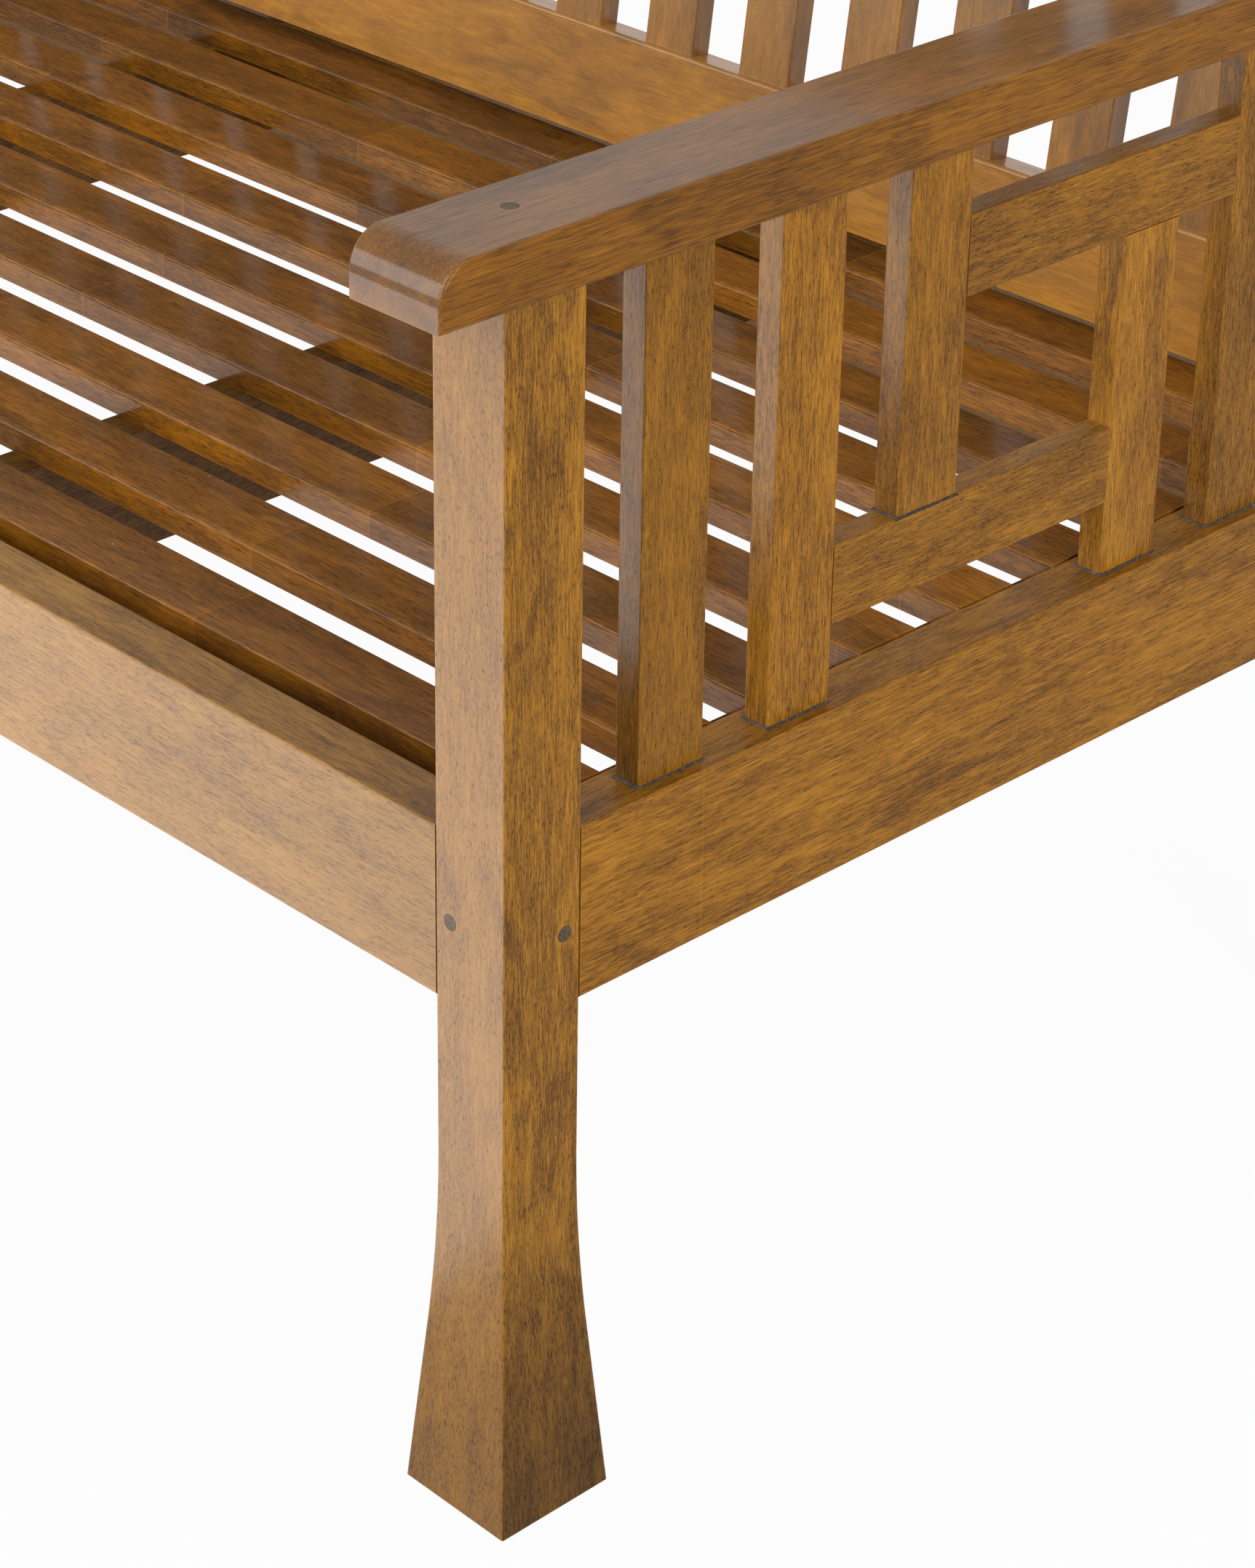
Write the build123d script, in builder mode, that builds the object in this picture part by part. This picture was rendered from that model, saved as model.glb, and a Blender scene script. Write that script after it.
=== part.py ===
from build123d import *
from math import cos, radians, sin, tan
import os

# Mission settle, millimetres and degrees, +Z up, front towards -Y.
# The origin is on the floor, midway between the extreme front, rear and sides.

# Whole frame
frame_length = 1905.0
frame_depth = 690.0
rail_top = 355.0
arm_underside = 611.0

# Legs and their flared feet
leg_side = 45.0
leg_ease = 1.5
foot_chamfer = 1.2
flare_straight = 90.0
flare_arc_height = 100.0
flare_angle = 4.6

# Rails round the seat
rail_height = 87.0
rear_rail_height = 95.0
rail_thickness = 30.0
rail_ease = 1.5
rail_tenon_thickness = 10.0
rail_tenon_height = 62.0
rail_tenon_length = 22.0

# Arms
arm_width = 56.0
arm_thickness = 29.0
arm_overhang = 6.5
arm_nose = 40.5
arm_tail = 10.0
arm_nose_radius = 17.5
arm_chin_radius = 3.0
arm_ease = 2.0

# Arm panel: six uprights and two cross rails on each side
panel_slats_per_end = 3
panel_slat_width = 40.0
panel_slat_thickness = 15.0
panel_window = 111.0
panel_ease = 1.2
cross_rail_gap = 39.0
cross_rail_width = 40.0
panel_tenon_thickness = 8.0
panel_tenon_width = 28.0
panel_tenon_length = 12.0
cross_tenon_thickness = 6.0
cross_tenon_width = 26.0
cross_tenon_length = 10.0

# Seat deck
seat_slat_count = 9
seat_slat_width = 40.0
seat_slat_thickness = 15.0
seat_slat_proud = 0.5
seat_slat_top_ease = 2.5
seat_slat_bottom_ease = 1.0
seat_end_clearance = 0.3
seat_leg_clearance = 1.0
seat_rear_clearance = 5.0
bearer_spacing = 456.0
bearer_thickness = 25.0
bearer_height = 69.0
bearer_ease = 1.0
bearer_tenon_thickness = 15.0
bearer_tenon_height = 45.0
bearer_tenon_length = 10.0
cleat_width = 20.0
cleat_height = 25.0
cleat_ease = 1.0

# Leaning back frame
back_lean = 7.5
back_forward = 13.0
back_lift = 5.5
back_height = 523.0
back_thickness = 22.0
back_bottom_width = 68.0
back_top_width = 70.0
back_stile_width = 55.5
back_stile_clearance = 0.3
back_ease = 2.0
back_top_round = 6.0
back_lip = 4.0
back_slat_count = 21
back_slats_per_node = 3
back_slat_width = 40.0
back_slat_thickness = 15.0
back_slat_ease = 1.2
back_tenon_thickness = 7.0
back_tenon_width = 26.0
back_tenon_length = 12.0
back_rail_tenon_thickness = 9.0
back_rail_tenon_width = 40.0
back_rail_tenon_length = 25.0
arm_notch_gap = 0.6

# Pins, plugs, screws, dowels and bolts
pin_diameter = 8.0
pin_length = 29.0
pin_inset = 9.5
front_pin_drop = 2.0
side_pin_drop = 6.5
arm_screw_inset = 25.0
plug_diameter = 8.0
plug_length = 8.0
screw_head_diameter = 7.4
screw_head_height = 3.0
screw_shank_diameter = 4.5
arm_screw_reach = 35.0
dowel_diameter = 8.0
dowel_in_slat = 10.0
dowel_in_bearer = 14.0
small_head_diameter = 7.0
small_head_height = 2.5
small_shank_diameter = 3.5
small_head_recess = 1.0
slat_screw_reach = 9.0
cleat_screw_reach = 12.0
cleat_screw_shares = (0.5, 2.5, 5.5, 7.5)
bolt_low = 100.0
bolt_high = 190.0
bolt_diameter = 6.0
bolt_head_diameter = 13.0
bolt_head_height = 3.0
bolt_reach = 22.0
insert_diameter = 9.0
insert_length = 16.0

# Clearances
tenon_fit = 0.15
tenon_end_gap = 1.0
hole_fit = 0.1
overrun = 2.0

# Worked out from the sizes above
flare_arc_spread = flare_arc_height * tan(radians(flare_angle / 2))
foot_spread = flare_arc_spread + flare_straight * tan(radians(flare_angle))
flare_height = flare_straight + flare_arc_height
rail_bottom = rail_top - rail_height
rail_middle = rail_top - rail_height / 2
arm_top = arm_underside + arm_thickness
lean_sin = sin(radians(back_lean))
lean_cos = cos(radians(back_lean))

back_set = frame_depth - leg_side - back_forward
back_bottom = rail_top + seat_slat_proud + back_lift
back_reach = (
    back_set
    + (back_height - back_top_round) * lean_sin
    + (back_thickness - back_top_round) * lean_cos
    + back_top_round
)
front_face = (arm_nose - back_reach) / 2
rear_face = front_face + frame_depth
back_front = front_face + back_set

leg_x = (frame_length - leg_side) / 2
rail_inner_length = frame_length - 2 * leg_side
side_rail_x = (frame_length - rail_thickness) / 2
panel_slat_count = 2 * panel_slats_per_end
panel_clear_depth = frame_depth - 2 * leg_side - panel_slat_count * panel_slat_width
panel_gap = (panel_clear_depth - panel_window) / panel_slat_count
lower_rail_bottom = rail_top + cross_rail_gap
lower_rail_top = lower_rail_bottom + cross_rail_width
upper_rail_top = arm_underside - cross_rail_gap
upper_rail_bottom = upper_rail_top - cross_rail_width
arm_x = frame_length / 2 + arm_overhang - arm_width / 2

seat_top = rail_top + seat_slat_proud
seat_underside = seat_top - seat_slat_thickness
deck_start = leg_side + seat_leg_clearance
deck_end = leg_side + seat_rear_clearance
deck_pitch = (frame_depth - deck_start - deck_end - seat_slat_width) / (seat_slat_count - 1)
deck_length = frame_length - 2 * rail_thickness - 2 * seat_end_clearance
bearer_places = (-bearer_spacing, 0, bearer_spacing)
cleat_x = frame_length / 2 - rail_thickness - cleat_width / 2

back_stile_x = frame_length / 2 - leg_side - back_stile_clearance - back_stile_width / 2
back_clear_length = 2 * back_stile_x - back_stile_width
back_slat_gap = (back_clear_length - back_slat_count * back_slat_width) / (back_slat_count + 1)
back_slat_low = back_bottom_width
back_slat_high = back_height - back_top_width
back_middle = back_thickness / 2

SIDES = {"right": 1, "left": -1}
ENDS = {"front": -1, "rear": 1}
UP = (0, 0, 1)
DOWN = (0, 0, -1)


def outer_y(end):
    """Place of the legs' outer face at the front (-1) or the rear (1)."""
    return front_face if end < 0 else rear_face


def plane_at(origin, normal):
    """Plane whose second axis points up, or front to back where the plane is level."""
    if normal[2]:
        return Plane(origin=origin, x_dir=(1, 0, 0), z_dir=normal)
    across = (-normal[1], normal[0], 0)
    return Plane(origin=origin, x_dir=across, z_dir=normal)


def back_plane_up(distance):
    """Plane across the back frame at a distance along its lean; first axis +X, second to the rear."""
    origin = (0, back_front + distance * lean_sin, back_bottom + distance * lean_cos)
    return Plane(origin=origin, x_dir=(1, 0, 0), z_dir=(0, lean_sin, lean_cos))


def back_plane_side(x, direction):
    """Plane of the back frame's own section at x; first axis to the rear or front, second up the lean."""
    origin = (x, back_front, back_bottom)
    rearward = (0, direction * lean_cos, -direction * lean_sin)
    return Plane(origin=origin, x_dir=rearward, z_dir=(direction, 0, 0))


def block(plane, across, up, amount, mode=Mode.ADD):
    """Rectangular tenon, or pocket with Mode.SUBTRACT, standing on a plane."""
    with BuildSketch(plane) as outline:
        Rectangle(across, up)
    extrude(outline.sketch, amount=amount, mode=mode)


def rod(plane, diameter, amount, mode=Mode.ADD):
    """Round bar, or round hole with Mode.SUBTRACT, standing on a plane."""
    with BuildSketch(plane) as outline:
        Circle(diameter / 2)
    extrude(outline.sketch, amount=amount, mode=mode)


def pocket(plane, across, up, depth):
    """Mortise for a tenon of the given size, with its side fit and the gap at its end."""
    block(plane, across + 2 * tenon_fit, up + 2 * tenon_fit, depth + tenon_end_gap, Mode.SUBTRACT)


def hole(plane, diameter, depth):
    """Round hole for a bar of the given diameter."""
    rod(plane, diameter + 2 * hole_fit, depth, Mode.SUBTRACT)


def save(piece, name):
    """Label a finished piece and write its STEP file."""
    piece.part.label = name
    export_step(piece.part, f"parts/{name}.step")


os.makedirs("parts", exist_ok=True)


# Legs

def pin_planes(side, end):
    """Planes at the mouths of a leg's two pin holes: through its front or rear face, and its side."""
    outer_x = side * frame_length / 2
    inner = leg_side - pin_inset
    through_face = plane_at(
        (outer_x - side * inner, outer_y(end), rail_middle - front_pin_drop), (0, -end, 0)
    )
    through_side = plane_at(
        (outer_x, outer_y(end) - end * inner, rail_middle - side_pin_drop), (-side, 0, 0)
    )
    return through_face, through_side


def arm_screw_place(side, end):
    """Centre of the screw that holds an arm on a leg, seen from above."""
    x = side * (frame_length / 2 - arm_screw_inset)
    return x, outer_y(end) - end * arm_screw_inset


def bolt_place(distance):
    """Y and Z of a back bolt, at the middle of the stile's thickness."""
    y = back_front + distance * lean_sin + back_middle * lean_cos
    return y, back_bottom + distance * lean_cos - back_middle * lean_sin


def leg_outline():
    """Half of the post's outline with its flared foot, mirrored to the full outline."""
    half = leg_side / 2
    with BuildLine() as edge:
        Line((0, 0), (half + foot_spread, 0))
        Line((half + foot_spread, 0), (half + flare_arc_spread, flare_straight))
        TangentArc((half, flare_height), (half + flare_arc_spread, flare_straight), tangent=(0, -1))
        Line((half, flare_height), (half, arm_underside))
        Line((half, arm_underside), (0, arm_underside))
        mirror(about=Plane.YZ)
    return edge.line


def make_leg(side_name, end_name):
    """Square post flared on four sides at the foot, with its mortises and holes."""
    side, end = SIDES[side_name], ENDS[end_name]
    centre_y = outer_y(end) - end * leg_side / 2
    reach = leg_side + foot_spread
    with BuildPart() as leg:
        with BuildSketch(plane_at((side * leg_x, centre_y, 0), (0, -1, 0))):
            with BuildLine():
                add(leg_outline())
            make_face()
        extrude(amount=reach, both=True)
        with BuildSketch(plane_at((side * leg_x, centre_y, 0), (1, 0, 0))):
            with BuildLine():
                add(leg_outline())
            make_face()
        extrude(amount=reach, both=True, mode=Mode.INTERSECT)
        flats = leg.edges().filter_by(GeomType.LINE).filter_by(Plane.XY)
        fillet(leg.edges() - flats, leg_ease)
        chamfer(leg.faces().sort_by(Axis.Z)[0].edges(), foot_chamfer)
        rail_y = outer_y(end) - end * rail_thickness / 2
        pocket(
            plane_at((side * (leg_x - leg_side / 2), rail_y, rail_middle), (side, 0, 0)),
            rail_tenon_thickness, rail_tenon_height, rail_tenon_length,
        )
        pocket(
            plane_at((side * side_rail_x, centre_y - end * leg_side / 2, rail_middle), (0, end, 0)),
            rail_tenon_thickness, rail_tenon_height, rail_tenon_length,
        )
        for plane in pin_planes(side, end):
            hole(plane, pin_diameter, pin_length + tenon_end_gap)
        x, y = arm_screw_place(side, end)
        hole(plane_at((x, y, arm_underside), DOWN), screw_shank_diameter,
             arm_screw_reach + tenon_end_gap)
        if end > 0:
            for distance in (bolt_low, bolt_high):
                y, z = bolt_place(distance)
                mouth = plane_at((side * (leg_x - leg_side / 2), y, z), (side, 0, 0))
                hole(mouth, insert_diameter, bolt_reach + tenon_end_gap)
    save(leg, f"{end_name}_leg_{side_name}")


for side_name in SIDES:
    for end_name in ENDS:
        make_leg(side_name, end_name)


# Rails round the seat

def make_long_rail(end_name):
    """Front or rear seat rail, tenoned into two legs and mortised for the bearers."""
    end = ENDS[end_name]
    rail_y = outer_y(end) - end * rail_thickness / 2
    inner_y = outer_y(end) - end * rail_thickness
    shoulder = rail_inner_length / 2
    height = rear_rail_height if end > 0 else rail_height
    with BuildPart() as rail:
        with BuildSketch(plane_at((0, rail_y, rail_top - height / 2), (1, 0, 0))):
            RectangleRounded(rail_thickness, height, rail_ease)
        extrude(amount=shoulder, both=True)
        for side in SIDES.values():
            block(plane_at((side * shoulder, rail_y, rail_middle), (side, 0, 0)),
                  rail_tenon_thickness, rail_tenon_height, rail_tenon_length)
            hole(pin_planes(side, end)[0], pin_diameter, rail_thickness)
        for x in bearer_places:
            pocket(plane_at((x, inner_y, seat_underside - bearer_height / 2), (0, end, 0)),
                   bearer_tenon_thickness, bearer_tenon_height, bearer_tenon_length)
    save(rail, f"{end_name}_rail")


for end_name in ENDS:
    make_long_rail(end_name)


def panel_slat_y(number):
    """Middle of an arm panel upright; numbers 1 to 3 count from the front leg, 6 to 4 from the rear."""
    step = panel_slat_width + panel_gap
    first = leg_side + panel_gap + panel_slat_width / 2
    if number <= panel_slats_per_end:
        return front_face + first + (number - 1) * step
    return rear_face - first - (panel_slat_count - number) * step


STANDS_ON_RAIL = (1, 2, 4, 5, 6)
REACHES_ARM = (1, 2, 3, 5, 6)


def cleat_screw_y(share):
    """Place of a cleat screw, as a share of the slat pitch, always between two slats."""
    return front_face + deck_start + seat_slat_width / 2 + share * deck_pitch


def make_side_rail(side_name):
    """Side seat rail, tenoned into two legs and mortised on top for the arm panel."""
    side = SIDES[side_name]
    middle_y = (front_face + rear_face) / 2
    shoulder = frame_depth / 2 - leg_side
    inner_x = frame_length / 2 - rail_thickness
    with BuildPart() as rail:
        with BuildSketch(plane_at((side * side_rail_x, middle_y, rail_middle), (0, 1, 0))):
            RectangleRounded(rail_thickness, rail_height, rail_ease)
        extrude(amount=shoulder, both=True)
        for end in ENDS.values():
            block(plane_at((side * side_rail_x, middle_y + end * shoulder, rail_middle), (0, end, 0)),
                  rail_tenon_thickness, rail_tenon_height, rail_tenon_length)
            hole(pin_planes(side, end)[1], pin_diameter, rail_thickness)
        for number in STANDS_ON_RAIL:
            pocket(plane_at((side * side_rail_x, panel_slat_y(number), rail_top), DOWN),
                   panel_tenon_thickness, panel_tenon_width, panel_tenon_length)
        for share in cleat_screw_shares:
            z = seat_underside - cleat_height / 2
            hole(plane_at((side * inner_x, cleat_screw_y(share), z), (side, 0, 0)),
                 small_shank_diameter, cleat_screw_reach + tenon_end_gap)
    save(rail, f"side_rail_{side_name}")


for side_name in SIDES:
    make_side_rail(side_name)


# Arms

def stile_front_y(z):
    """Place of the back frame's front face at a height."""
    return back_front + (z - back_bottom) * lean_sin / lean_cos


def make_arm(side_name):
    """Arm board: a side profile with a rounded front end, notched round the back stile."""
    side = SIDES[side_name]
    nose_y = front_face - arm_nose
    tail_y = rear_face + arm_tail
    with BuildPart() as arm:
        with BuildSketch(plane_at((side * arm_x, 0, 0), (1, 0, 0))) as profile:
            with BuildLine():
                Polyline((nose_y, arm_underside), (tail_y, arm_underside), (tail_y, arm_top),
                         (nose_y, arm_top), close=True)
            make_face()
            front_corners = profile.vertices().group_by(Axis.X)[0].sort_by(Axis.Y)
            fillet(front_corners[-1], arm_nose_radius)
            fillet(front_corners[0], arm_chin_radius)
            fillet(profile.vertices().group_by(Axis.X)[-1], arm_ease)
        extrude(amount=arm_width / 2, both=True)
        long_sides = arm.faces().sort_by(Axis.X)
        fillet(long_sides[0].edges() + long_sides[-1].edges(), arm_ease)
        notch_start = stile_front_y(arm_underside) - arm_notch_gap
        notch_length = tail_y - notch_start + overrun
        notch_depth = arm_width - arm_overhang - leg_side
        inner_edge = frame_length / 2 - leg_side
        block(
            plane_at((side * (inner_edge - notch_depth), notch_start + notch_length / 2,
                      arm_underside - overrun), UP),
            2 * notch_depth, notch_length, arm_thickness + 2 * overrun, Mode.SUBTRACT,
        )
        for number in REACHES_ARM:
            pocket(plane_at((side * side_rail_x, panel_slat_y(number), arm_underside), UP),
                   panel_tenon_thickness, panel_tenon_width, panel_tenon_length)
        for end in ENDS.values():
            x, y = arm_screw_place(side, end)
            hole(plane_at((x, y, arm_top), DOWN), plug_diameter, plug_length + screw_head_height)
            hole(plane_at((x, y, arm_top), DOWN), screw_shank_diameter, arm_thickness)
    save(arm, f"arm_{side_name}")


for side_name in SIDES:
    make_arm(side_name)


# Arm panel

def make_panel_slat(side_name, number):
    """Upright of the arm panel; numbers 3 and 4 stop at a cross rail."""
    side = SIDES[side_name]
    x, y = side * side_rail_x, panel_slat_y(number)
    low = lower_rail_top if number == 3 else rail_top
    high = upper_rail_bottom if number == 4 else arm_underside
    half = panel_slat_width / 2
    with BuildPart() as slat:
        with BuildSketch(plane_at((x, y, low), UP)):
            RectangleRounded(panel_slat_thickness, panel_slat_width, panel_ease)
        extrude(amount=high - low)
        block(plane_at((x, y, low), DOWN), panel_tenon_thickness, panel_tenon_width,
              panel_tenon_length)
        block(plane_at((x, y, high), UP), panel_tenon_thickness, panel_tenon_width,
              panel_tenon_length)
        lower_z = (lower_rail_bottom + lower_rail_top) / 2
        upper_z = (upper_rail_bottom + upper_rail_top) / 2
        side_mortises = {2: (1, lower_z), 4: (-1, lower_z), 3: (1, upper_z), 5: (-1, upper_z)}
        if number in side_mortises:
            towards, z = side_mortises[number]
            pocket(plane_at((x, y + towards * half, z), (0, -towards, 0)),
                   cross_tenon_thickness, cross_tenon_width, cross_tenon_length)
    save(slat, f"arm_slat_{side_name}_{number}")


def make_cross_rail(side_name, level):
    """Cross rail of the arm panel, between uprights 2 and 4 (lower) or 3 and 5 (upper)."""
    side = SIDES[side_name]
    lower = level == "lower"
    first, stopped, last = (2, 3, 4) if lower else (3, 4, 5)
    bottom = lower_rail_bottom if lower else upper_rail_bottom
    start = panel_slat_y(first) + panel_slat_width / 2
    finish = panel_slat_y(last) - panel_slat_width / 2
    x, z = side * side_rail_x, bottom + cross_rail_width / 2
    with BuildPart() as rail:
        with BuildSketch(plane_at((x, start, z), (0, 1, 0))):
            RectangleRounded(panel_slat_thickness, cross_rail_width, panel_ease)
        extrude(amount=finish - start)
        block(plane_at((x, start, z), (0, -1, 0)), cross_tenon_thickness, cross_tenon_width,
              cross_tenon_length)
        block(plane_at((x, finish, z), (0, 1, 0)), cross_tenon_thickness, cross_tenon_width,
              cross_tenon_length)
        mouth_z, into = (lower_rail_top, DOWN) if lower else (upper_rail_bottom, UP)
        pocket(plane_at((x, panel_slat_y(stopped), mouth_z), into),
               panel_tenon_thickness, panel_tenon_width, panel_tenon_length)
    save(rail, f"arm_cross_rail_{level}_{side_name}")


for side_name in SIDES:
    for number in range(1, panel_slat_count + 1):
        make_panel_slat(side_name, number)
    for level in ("lower", "upper"):
        make_cross_rail(side_name, level)


# Seat deck

def deck_y(number):
    """Middle of a seat slat, counted from the front."""
    return front_face + deck_start + seat_slat_width / 2 + (number - 1) * deck_pitch


def make_seat_slat(number):
    """Lengthways seat slat with eased edges, drilled below for dowels and end screws."""
    middle = (0, deck_y(number), seat_underside + seat_slat_thickness / 2)
    with BuildPart() as slat:
        with BuildSketch(plane_at(middle, (1, 0, 0))) as section:
            Rectangle(seat_slat_width, seat_slat_thickness)
            bottom, top = section.vertices().group_by(Axis.Y)
            fillet(top, seat_slat_top_ease)
            fillet(bottom, seat_slat_bottom_ease)
        extrude(amount=deck_length / 2, both=True)
        for x in bearer_places:
            hole(plane_at((x, deck_y(number), seat_underside), UP), dowel_diameter, dowel_in_slat)
        for side in SIDES.values():
            hole(plane_at((side * cleat_x, deck_y(number), seat_underside), UP),
                 small_shank_diameter, slat_screw_reach)
    save(slat, f"seat_slat_{number}")


def make_bearer(number, x):
    """Front-to-back bearer on edge, tenoned into the front and rear rails."""
    middle_y = (front_face + rear_face) / 2
    half = frame_depth / 2 - rail_thickness
    z = seat_underside - bearer_height / 2
    with BuildPart() as bearer:
        with BuildSketch(plane_at((x, middle_y, z), (0, 1, 0))):
            RectangleRounded(bearer_thickness, bearer_height, bearer_ease)
        extrude(amount=half, both=True)
        for end in ENDS.values():
            block(plane_at((x, middle_y + end * half, z), (0, end, 0)),
                  bearer_tenon_thickness, bearer_tenon_height, bearer_tenon_length)
        for slat in range(1, seat_slat_count + 1):
            hole(plane_at((x, deck_y(slat), seat_underside), DOWN), dowel_diameter,
                 dowel_in_bearer)
    save(bearer, f"seat_bearer_{number}")


def make_cleat(side_name):
    """Ledge on the side rail's inner face that carries the seat slats' ends."""
    side = SIDES[side_name]
    middle_y = (front_face + rear_face) / 2
    half = frame_depth / 2 - leg_side - seat_leg_clearance
    z = seat_underside - cleat_height / 2
    inner_x = cleat_x - cleat_width / 2
    head_depth = small_head_recess + small_head_height
    with BuildPart() as cleat:
        with BuildSketch(plane_at((side * cleat_x, middle_y, z), (0, 1, 0))):
            RectangleRounded(cleat_width, cleat_height, cleat_ease)
        extrude(amount=half, both=True)
        for number in range(1, seat_slat_count + 1):
            mouth = plane_at((side * cleat_x, deck_y(number), seat_underside - cleat_height), UP)
            hole(mouth, small_head_diameter, head_depth)
            hole(mouth, small_shank_diameter, cleat_height)
        for share in cleat_screw_shares:
            mouth = plane_at((side * inner_x, cleat_screw_y(share), z), (side, 0, 0))
            hole(mouth, small_head_diameter, head_depth)
            hole(mouth, small_shank_diameter, cleat_width)
    save(cleat, f"seat_cleat_{side_name}")


for number in range(1, seat_slat_count + 1):
    make_seat_slat(number)
for number, x in enumerate(bearer_places, start=1):
    make_bearer(number, x)
for side_name in SIDES:
    make_cleat(side_name)


# Back frame

def back_slat_x(number):
    """Middle of a back slat, counted from the left."""
    first = -back_clear_length / 2 + back_slat_gap + back_slat_width / 2
    return first + number * (back_slat_width + back_slat_gap)


def make_back_rail(name, low, width, mortise_distance, into):
    """Long rail of the back frame, tenoned into the stiles and mortised for the slats."""
    top = name == "back_top_rail"
    with BuildPart() as rail:
        with BuildSketch(back_plane_side(0, 1)) as section:
            with Locations((back_middle, low + width / 2)):
                Rectangle(back_thickness, width)
            bottom_corners, top_corners = section.vertices().group_by(Axis.Y)
            if top:
                fillet(top_corners, back_top_round)
                fillet(bottom_corners, back_ease)
            else:
                fillet(top_corners, back_ease)
                chamfer(bottom_corners.sort_by(Axis.X)[0], back_lip)
        extrude(amount=back_clear_length / 2, both=True)
        for side in SIDES.values():
            shoulder = side * back_clear_length / 2
            with BuildSketch(back_plane_side(shoulder, side)) as tenon:
                with Locations((side * back_middle, low + width / 2)):
                    Rectangle(back_rail_tenon_thickness, back_rail_tenon_width)
            extrude(tenon.sketch, amount=back_rail_tenon_length)
        plane = back_plane_up(mortise_distance)
        for number in range(back_slat_count):
            with BuildSketch(plane) as mortise:
                with Locations((back_slat_x(number), back_middle)):
                    Rectangle(back_tenon_width + 2 * tenon_fit, back_tenon_thickness + 2 * tenon_fit)
            depth = back_tenon_length + tenon_end_gap
            extrude(mortise.sketch, amount=into * depth, mode=Mode.SUBTRACT)
    save(rail, name)


def make_back_stile(side_name):
    """End post of the back frame, bolted to the inner face of the rear leg."""
    side = SIDES[side_name]
    inner_face = side * back_clear_length / 2
    head_edge = back_stile_x - back_stile_width / 2
    with BuildPart() as stile:
        with BuildSketch(back_plane_side(inner_face, side)) as section:
            with Locations((side * back_middle, back_height / 2)):
                Rectangle(back_thickness, back_height)
            fillet(section.vertices().group_by(Axis.Y)[-1], back_top_round)
        extrude(amount=back_stile_width)
        joints = (back_bottom_width / 2, back_height - back_top_width / 2)
        for distance in joints:
            with BuildSketch(back_plane_side(inner_face, side)) as mortise:
                with Locations((side * back_middle, distance)):
                    Rectangle(back_rail_tenon_thickness + 2 * tenon_fit,
                              back_rail_tenon_width + 2 * tenon_fit)
            extrude(mortise.sketch, amount=back_rail_tenon_length + tenon_end_gap,
                    mode=Mode.SUBTRACT)
        for distance in (bolt_low, bolt_high):
            y, z = bolt_place(distance)
            mouth = plane_at((side * head_edge, y, z), (side, 0, 0))
            hole(mouth, bolt_head_diameter, bolt_head_height)
            hole(mouth, bolt_diameter, back_stile_width)
    save(stile, f"back_stile_{side_name}")


def make_back_slats(group):
    """Some of the back slats, as separate pieces, leaning with the back frame."""
    start = group * back_slats_per_node
    numbers = range(start, min(start + back_slats_per_node, back_slat_count))
    length = back_slat_high - back_slat_low
    with BuildPart() as slats:
        for number in numbers:
            place = (back_slat_x(number), back_middle)
            with BuildSketch(back_plane_up(back_slat_low)):
                with Locations(place):
                    RectangleRounded(back_slat_width, back_slat_thickness, back_slat_ease)
            extrude(amount=length)
            with BuildSketch(back_plane_up(back_slat_low - back_tenon_length)):
                with Locations(place):
                    Rectangle(back_tenon_width, back_tenon_thickness)
            extrude(amount=length + 2 * back_tenon_length)
    save(slats, f"back_slats_{group + 1}")


make_back_rail("back_bottom_rail", 0, back_bottom_width, back_slat_low, -1)
make_back_rail("back_top_rail", back_height - back_top_width, back_top_width, back_slat_high, 1)
for side_name in SIDES:
    make_back_stile(side_name)
for group in range(-(-back_slat_count // back_slats_per_node)):
    make_back_slats(group)


# Pins, plugs and fasteners

with BuildPart() as rail_pins:
    for side in SIDES.values():
        for end in ENDS.values():
            for plane in pin_planes(side, end):
                rod(plane, pin_diameter, pin_length)
save(rail_pins, "rail_pins")

with BuildPart() as arm_plugs:
    for side in SIDES.values():
        for end in ENDS.values():
            x, y = arm_screw_place(side, end)
            rod(plane_at((x, y, arm_top), DOWN), plug_diameter, plug_length)
save(arm_plugs, "arm_plugs")

with BuildPart() as arm_screws:
    for side in SIDES.values():
        for end in ENDS.values():
            x, y = arm_screw_place(side, end)
            head_top = arm_top - plug_length
            shank_length = head_top - arm_underside + arm_screw_reach
            rod(plane_at((x, y, head_top), DOWN), screw_head_diameter, screw_head_height)
            rod(plane_at((x, y, head_top), DOWN), screw_shank_diameter, shank_length)
save(arm_screws, "arm_screws")

with BuildPart() as seat_dowels:
    for x in bearer_places:
        for number in range(1, seat_slat_count + 1):
            foot = seat_underside - dowel_in_bearer
            rod(plane_at((x, deck_y(number), foot), UP), dowel_diameter,
                dowel_in_bearer + dowel_in_slat)
save(seat_dowels, "seat_dowels")

with BuildPart() as slat_screws:
    head_z = seat_underside - cleat_height + small_head_recess
    for side in SIDES.values():
        for number in range(1, seat_slat_count + 1):
            foot = plane_at((side * cleat_x, deck_y(number), head_z), UP)
            rod(foot, small_head_diameter, small_head_height)
            rod(foot, small_shank_diameter, cleat_height - small_head_recess + slat_screw_reach)
save(slat_screws, "slat_screws")

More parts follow.
